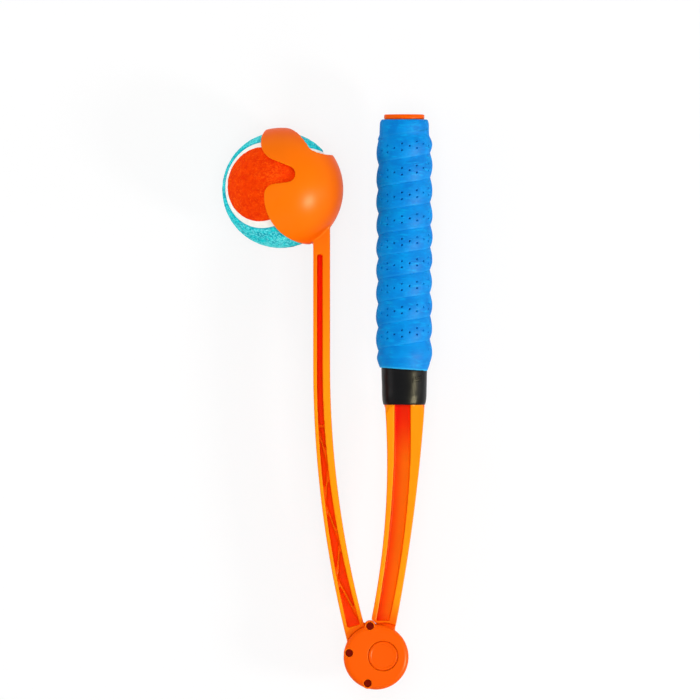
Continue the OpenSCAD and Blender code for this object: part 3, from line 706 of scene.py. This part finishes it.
def closing_band(material):
    """The black band, drawn over the lower end of the grip tape and creased."""
    high_r = (band_high.x - band_low.x) / 2
    length = band_high.y - band_low.y
    inner = grip_core_r + 0.05 * MM
    profile = rounded([(inner, 0.3 * MM), (grip_core_r + 0.2 * MM, 0), (grip_core_r + 0.7 * MM, 1.1 * MM),
                       (grip_core_r + 1.1 * MM, 4.5 * MM), (high_r, length), (inner, length)], 1.2 * MM)
    shape = spun(profile, Vector((grip_x, band_bottom, mid_z)), Vector((0, 1, 0)))
    long_edges = [edge for edge in shape.edges
                  if abs(edge.verts[0].co.y - edge.verts[1].co.y) > LONG_EDGE]
    bmesh.ops.subdivide_edges(shape, edges=long_edges, cuts=EDGE_CUTS, use_grid_fill=True)
    drop = math.tan(BAND_SLOPE)
    reach = grip_core_r * drop
    for vert in shape.verts:
        share = (vert.co.y - band_bottom) / length
        vert.co.y -= share * ((vert.co.x - grip_x) * drop + reach * EDGE_SINK)
        out = Vector((vert.co.x - grip_x, 0, vert.co.z - mid_z)).normalized()
        crease = CREASE * wobble(vert.co, 7 * MM, 2) + FINE_CREASE * wobble(vert.co, 2.5 * MM, 5)
        vert.co += out * crease * MM
    piece = make_piece(shape, "closing_band", material, sharp=math.radians(50))
    seat(piece, "handle", "black_tape", "finishing_tape")


# The loose end lies between two angles round the grip; its sizes are in millimetres
TAIL_FROM = math.radians(21)
TAIL_TO = math.radians(50)
TAIL_Y = 152.8 * MM
TAIL_RISE = 0.5
TAIL_WIDTH = 2.2
TAIL_FLARE = 1.6
TAIL_GAP = 0.1
TAIL_LIFT = 0.3
TAIL_RIPPLE = 0.06
RIPPLE_SPREAD = 15
TAIL_WALL = 0.16 * MM
# Radius of the band's face at heights along the grip
BAND_RADII = [(band_bottom, 12.0 * MM), (band_bottom + 4.5 * MM, 12.45 * MM), (band_high.y, 12.9 * MM)]


def tape_tail(material):
    """The loose end of the finishing tape, rippled and lifted a little off the band."""
    shape = bmesh.new()
    grid = bmesh.ops.create_grid(shape, x_segments=16, y_segments=18, size=1)["verts"]
    for vert in grid:
        along = (vert.co.x + 1) / 2
        across = (vert.co.y + 1) / 2
        angle = TAIL_FROM + (TAIL_TO - TAIL_FROM) * along
        y = TAIL_Y + (TAIL_RISE * along + (TAIL_WIDTH + TAIL_FLARE * along) * across) * MM
        lift = TAIL_LIFT * ramp(along, 0.0, 1.3) + TAIL_RIPPLE * math.sin(across * RIPPLE_SPREAD)
        reach = between(y, BAND_RADII) + (TAIL_GAP + max(0, lift)) * MM
        vert.co = Vector((grip_x + math.sin(angle) * reach, y, mid_z + math.cos(angle) * reach))
    bmesh.ops.recalc_face_normals(shape, faces=shape.faces)
    piece = make_piece(shape, "tape_tail", material)
    wall = piece.modifiers.new("tape_wall", "SOLIDIFY")
    wall.thickness = TAIL_WALL
    wall.offset = 0
    rounding = piece.modifiers.new("soft_edge", "SUBSURF")
    rounding.levels = rounding.render_levels = 1
    apply_modifiers(piece)
    seat(piece, "handle", "black_tape")


# Wall of the grip's core round the plug, and the rounding of the cap's edges
CORE_WALL = 2.9 * MM
CAP_ROUND = 0.9 * MM


def butt_cap(material):
    """The cap of the butt end: a rim above the tape and a plug in the core."""
    rim = cap_top - grip_top
    plug = cap_low.y - grip_top
    plug_r = grip_core_r - CORE_WALL
    profile = rounded([(0, rim), (grip_core_r, rim), (grip_core_r, 0), (plug_r, 0), (plug_r, plug),
                       (0, plug)], CAP_ROUND)
    shape = spun(profile, Vector((grip_x, grip_top, mid_z)), Vector((0, 1, 0)))
    piece = make_piece(shape, "butt_cap", material, sharp=math.radians(40))
    seat(piece, "handle", "orange_plastic", "end_cap")


# Hinge

# The button, from its middle outwards and from its top down
DISH_R = 6.4 * MM
DISH_RIM_R = 6.9 * MM
DISH_DEPTH = 0.45 * MM
DISH_EDGE_DEPTH = 0.35 * MM
LEDGE_DEPTH = 0.9 * MM
HEAD_DEPTH = 3.6 * MM
FACE_INSET = 0.2 * MM
SKIRT_OUTSET = 0.22 * MM
STEM_R = 6 * MM
BORE_R = 3.9 * MM
BORE_DEPTH = 14.8 * MM
BUTTON_ROUND = 0.45 * MM


def push_button(material):
    """The button: a dished head with a skirt below its face, and a hollow stem that holds the spring."""
    low = button_low.z
    bore_end = low + BORE_DEPTH
    face_r = button_r - FACE_INSET
    skirt_r = button_r + SKIRT_OUTSET
    ledge = hinge_top - LEDGE_DEPTH
    head_low = hinge_top - HEAD_DEPTH
    profile = rounded([(0, hinge_top - DISH_DEPTH), (DISH_R, hinge_top - DISH_EDGE_DEPTH),
                       (DISH_RIM_R, hinge_top), (face_r, hinge_top), (face_r, ledge), (skirt_r, ledge),
                       (skirt_r, head_low), (STEM_R, head_low), (STEM_R, low), (BORE_R, low),
                       (BORE_R, bore_end), (0, bore_end)], BUTTON_ROUND)
    shape = spun(profile, Vector((0, 0, 0)), Vector((0, 0, 1)))
    piece = make_piece(shape, "push_button", material, sharp=math.radians(50))
    seat(piece, "button", "button_plastic", "release_button")


SPRING_TURNS = 6
SPRING_WIRE = 0.8 * MM
STEPS_A_TURN = 40
WIRE_SIDES = 10


def coil_spring(material):
    """The lock's spring between the back shell and the button; the real one shortens, this coil keeps one
    length.
    """
    coil_r = (spring_high.x - spring_low.x - SPRING_WIRE) / 2
    steps = SPRING_TURNS * STEPS_A_TURN
    rise = (spring_high.z - spring_low.z - SPRING_WIRE) / steps
    shape = bmesh.new()
    ring = bmesh.ops.create_circle(shape, segments=WIRE_SIDES, radius=SPRING_WIRE / 2)["verts"]
    start = Vector((coil_r, 0, spring_low.z + SPRING_WIRE / 2))
    upright = Matrix.Translation(start) @ Matrix.Rotation(math.pi / 2, 4, "X")
    bmesh.ops.transform(shape, verts=ring, matrix=upright)
    bmesh.ops.contextual_create(shape, geom=ring)
    section = shape.faces[:] + shape.edges[:] + shape.verts[:]
    bmesh.ops.spin(shape, geom=section, cent=(0, 0, 0), axis=(0, 0, 1), dvec=(0, 0, rise),
                   angle=SPRING_TURNS * 2 * math.pi, steps=steps)
    bmesh.ops.recalc_face_normals(shape, faces=shape.faces)
    piece = make_piece(shape, "coil_spring", material)
    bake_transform(piece)
    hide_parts("lock_spring")


# Ball

# How the ball lies in the cup
BALL_TURN = math.radians(-18)
BALL_TIP = math.radians(-8)
ball_frame = (Matrix.Rotation(BALL_TIP, 3, "X") @ Matrix.Rotation(BALL_TURN, 3, "Y")
              @ Matrix.Rotation(math.pi / 2, 3, "X"))
# Each panel has two lobes; the seam is an arc round each of them, about an axis that leans
SEAM_LEAN = math.radians(8)
LOBE = math.acos(-math.sin(SEAM_LEAN) ** 2) / 2
SEAM_WIDTH = 4.8 * MM
SEAM_SINK = 0.5 * MM
SEAM_CROWN = 0.25 * MM
SEAM_NAP = 0.03 * MM
# Felt: thickness, how its edge rounds down, takes painted shade and goes under the seam, and its nap
FELT = 2.2 * MM
EDGE_ROUND = 1.4 * MM
EDGE_DROP = 2.0 * MM
EDGE_SHADE = 0.9 * MM
FELT_TUCK = 0.9 * MM
FELT_NAP = 0.16 * MM
FINE_NAP = 0.9 * MM
COARSE_NAP = 2.2 * MM
BALL_DIVISIONS = 7
ball_r = ball_core_r + FELT


def seam_distance(direction):
    """Arc from the seam's middle to a direction in the ball's own axes, positive on the red panel."""
    x, y, z = direction
    lobe_axis = abs(z) if x > 0 else abs(y)
    from_axis = math.acos(min(1, abs(x) * math.sin(SEAM_LEAN) + lobe_axis * math.cos(SEAM_LEAN)))
    return (from_axis - LOBE if x > 0 else LOBE - from_axis) * ball_r


def ball_skin(name, depth_at, keep, material, nap):
    """A part of the ball's skin.

    At a distance from the seam's middle, depth_at says how far the skin lies below the felt's face, and
    keep whether this part of it goes there.
    """
    shape = bmesh.new()
    bmesh.ops.create_icosphere(shape, subdivisions=BALL_DIVISIONS, radius=1)
    outside = []
    for vert in shape.verts:
        direction = vert.co.normalized()
        distance = seam_distance(direction)
        if not keep(distance):
            outside.append(vert)
        place = ball_frame @ direction
        spot = place * ball_r
        fuzz = nap * (wobble(spot, FINE_NAP, 1) + 0.8 * wobble(spot, COARSE_NAP, 4))
        vert.co = ball_middle + place * (ball_r - depth_at(distance) + fuzz)
    bmesh.ops.delete(shape, geom=outside, context="VERTS")
    piece = make_piece(shape, name, material)
    own_axes = ball_frame.inverted()

    # Painted shade next to the seam, fading over EDGE_SHADE.
    def rim(place, normal):
        distance = abs(seam_distance((own_axes @ (place - ball_middle)).normalized()))
        return 1 - ramp(distance, SEAM_WIDTH / 2, SEAM_WIDTH / 2 + EDGE_SHADE)

    mark(piece, "rim", rim)
    return piece


def felt_edge(distance):
    """The felt rounds down to the rubber at its edge."""
    inside = distance - SEAM_WIDTH / 2
    if inside > EDGE_ROUND:
        return 0.0
    share = min(1.0, (EDGE_ROUND - inside) / FELT)
    return EDGE_DROP * share ** 2


def seam_depth(distance):
    """The rubber lies below the felt, highest along its middle."""
    return SEAM_SINK + SEAM_CROWN * (distance / SEAM_WIDTH * 2) ** 2


def felt_ball(red, teal, white):
    """Two interlocking felt panels and the seam between them."""
    reach = SEAM_WIDTH / 2 - FELT_TUCK
    red_felt = ball_skin("felt_red", felt_edge, lambda d: d > reach, red, FELT_NAP)
    teal_felt = ball_skin("felt_teal", lambda d: felt_edge(-d), lambda d: -d > reach, teal, FELT_NAP)
    seam = ball_skin("seam_band", seam_depth, lambda d: abs(d) < SEAM_WIDTH, white, SEAM_NAP)
    seat(red_felt, "ball", "red_felt", "felt_panel_orange")
    seat(teal_felt, "ball", "teal_felt", "felt_panel_teal")
    seat(seam, "ball", "seam_rubber", "ball_seam")


# Stage

# The camera's scale, and where the fold axis is in a square picture
PIXEL = 0.56 * MM
IMAGE = 700
FOLD_AXIS_PIXEL = (383, 655.7)
SENSOR = 36
CAMERA_HEIGHT = 10
FLOOR_Z = cup_low.z - 0.4 * MM
FLOOR_HALF = 4
# Shares of the surround's white that light the object, and that show on the floor
SKY_LIGHT = 0.4
FLOOR_SEEN = 0.8
WHITE = (1, 1, 1)
WARM = (1, 0.9, 0.55)
FLOOR_GREY = (0.9, 0.9, 0.9, 1)
# Where the lamps point
MIDDLE = (-0.02, 0.16, 0)
SIDES = (-0.02, 0.15, 0.02)


def camera():
    """Far off and straight above, at the photograph's scale and framing."""
    lens = bpy.data.cameras.new("camera")
    lens.sensor_width = SENSOR
    lens.lens = SENSOR * (CAMERA_HEIGHT - mid_z) / (IMAGE * PIXEL)
    eye = bpy.data.objects.new("camera", lens)
    axis_x, axis_y = FOLD_AXIS_PIXEL
    eye.location = ((IMAGE / 2 - axis_x) * PIXEL, (axis_y - IMAGE / 2) * PIXEL, CAMERA_HEIGHT)
    bpy.context.scene.collection.objects.link(eye)
    bpy.context.scene.camera = eye


def softbox(name, place, target, width, height, power, glossy=True, diffuse=True, colour=WHITE):
    """A soft lamp, in metres and watts, that may be left out of reflections or show in them alone."""
    lamp = bpy.data.lights.new(name, "AREA")
    lamp.shape = "RECTANGLE"
    lamp.size = width
    lamp.size_y = height
    lamp.energy = power
    lamp.color = colour
    box = bpy.data.objects.new(name, lamp)
    box.location = place
    box.visible_camera = False
    box.visible_glossy = glossy
    box.visible_diffuse = diffuse
    box.rotation_euler = (Vector(target) - Vector(place)).to_track_quat("-Z", "Y").to_euler()
    bpy.context.scene.collection.objects.link(box)


def pale_floor():
    """A white floor that keeps the object's soft shadow."""
    shape = bmesh.new()
    bmesh.ops.create_grid(shape, x_segments=1, y_segments=1, size=FLOOR_HALF)
    bmesh.ops.translate(shape, verts=shape.verts, vec=(0, 0, FLOOR_Z))
    finish = Finish("pale_floor", Base_Color=FLOOR_GREY, Roughness=0.9, Specular_IOR_Level=0.0)
    glow = finish.node("ShaderNodeEmission", inputs={"Color": (*WHITE, 1), "Strength": 1.0})
    lit = Socket(finish, finish.shader.outputs[0])
    mixed = finish.node("ShaderNodeMixShader", inputs={0: finish.seen() * FLOOR_SEEN, 1: lit, 2: glow})
    finish.link(mixed, finish.tree.nodes["Material Output"].inputs["Surface"])
    make_piece(shape, "pale_floor", finish.material)


def studio():
    """A white surround and soft lamps on all sides."""
    world = bpy.data.worlds.new("studio")
    world.use_nodes = True
    shading = Shading(world.node_tree)
    sky = world.node_tree.nodes["Background"]
    sky.inputs["Color"].default_value = (*WHITE, 1)
    shading.link(SKY_LIGHT + (1 - SKY_LIGHT) * shading.seen(), sky.inputs["Strength"])
    bpy.context.scene.world = world
    bpy.context.scene.view_settings.view_transform = "Standard"
    softbox("top_softbox", (-0.02, 0.16, 1.4), MIDDLE, 0.5, 0.5, 6, glossy=False)
    softbox("far_softbox", (-0.15, 1.4, 0.8), MIDDLE, 1.0, 0.8, 4, glossy=False)
    softbox("near_softbox", (-0.05, -1.1, 0.8), MIDDLE, 1.0, 0.8, 3, glossy=False)
    softbox("left_softbox", (-1.1, 0.3, 0.55), MIDDLE, 0.8, 1.0, 2.5, glossy=False)
    softbox("right_softbox", (0.95, -0.18, 0.72), MIDDLE, 0.22, 0.22, 5.5, glossy=False)
    softbox("gleam_softbox", (0.95, -0.18, 0.72), MIDDLE, 0.36, 0.3, 46, diffuse=False, colour=WARM)
    softbox("low_softbox", (1.1, 0.15, 0.3), MIDDLE, 0.4, 0.8, 1, glossy=False)
    softbox("left_strip", (-1.0, 0.15, 0.12), SIDES, 0.12, 0.9, 1.6)
    softbox("right_strip", (1.0, 0.15, 0.18), SIDES, 0.12, 0.9, 1.6)


# The whole part

camera()
studio()
pale_floor()

# Orange plastic: its lit tones are painted light on flanges and edges, and its deep red is painted shade
# and glow on channel floors.
ORANGE = srgb(252, 95, 0)
SHADED_CHANNEL_ORANGE = srgb(255, 34, 0)
LIT_ORANGE = srgb(255, 152, 8)
# The hinge's lit tone is a painted highlight on its rounded edges.
hinge_orange = orange_moulding("orange_hinge", srgb(248, 91, 0), srgb(255, 136, 6), ORANGE)
arm_orange = orange_moulding("orange_arms", ORANGE, LIT_ORANGE, SHADED_CHANNEL_ORANGE)
button_orange = orange_moulding("orange_button", srgb(244, 89, 0), ORANGE, ORANGE)

thrower = softened_copy(("ball_cup", "throw_arm"), "thrower_moulding", arm_orange, ARM_VOXEL, ARM_ROUNDS)
mark_arm(thrower, THROW_DEPTH / 2, THROW_RIM, cup_high.y, throw_lit, throw_glow, throw_floor_lit)
clear_pocket(thrower)
neck_y = cup_bottom - NECK_DROP
claw_cup = cut_off(thrower, "claw_cup", neck_y, 1)
throwing_arm = cut_off(thrower, "throwing_arm", neck_y, -1)
bpy.data.objects.remove(thrower)
handle_moulding = softened_copy(("handle_arm",), "handle_moulding", arm_orange, ARM_VOXEL, ARM_ROUNDS,
                                keep=HANDLE_KEEP)
mark_arm(handle_moulding, HANDLE_DEPTH / 2, HANDLE_RIM, HANDLE_END, handle_lit, handle_glow,
         handle_floor_lit)
hinge_front = softened_copy(("hinge_cover",), "hinge_front", hinge_orange, COVER_VOXEL, COVER_ROUNDS)
seat(claw_cup, "thrower", "orange_plastic", "ball_cup")
seat(throwing_arm, "thrower", "orange_plastic", "throw_arm")
seat(handle_moulding, "handle", "orange_plastic", "handle_arm")
seat(hinge_front, "thrower", "orange_plastic", "hinge_cover")
wound_grip(tape_blue(), tape_hole_shade())
black_tape = tape_black()
closing_band(black_tape)
tape_tail(black_tape)
butt_cap(hinge_orange)
push_button(button_orange)
# Painted reflection and shade: the steel is red-brown, as it looks deep in holes with orange walls.
screw_steel = dark_steel("screw_steel", srgb(128, 24, 10), srgb(164, 42, 22))
coil_spring(screw_steel)
felt_ball(felt("felt_red", srgb(234, 48, 0), srgb(248, 66, 0), srgb(255, 88, 8)),
          felt("felt_teal", srgb(0, 156, 178), srgb(12, 216, 220), srgb(120, 246, 246)), seam_rubber())
for screw in ("cover_screw_top", "cover_screw_left", "cover_screw_bottom"):
    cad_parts[screw].data.materials[0] = screw_steel
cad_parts["lock_gear"].data.materials[0] = plain_moulding(
    "acetal_gear", srgb(226, 226, 220), srgb(244, 244, 240), 0.4)
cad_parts["ball_core"].data.materials[0] = plain_moulding(
    "core_rubber", srgb(40, 38, 36), srgb(58, 55, 52), 0.7)
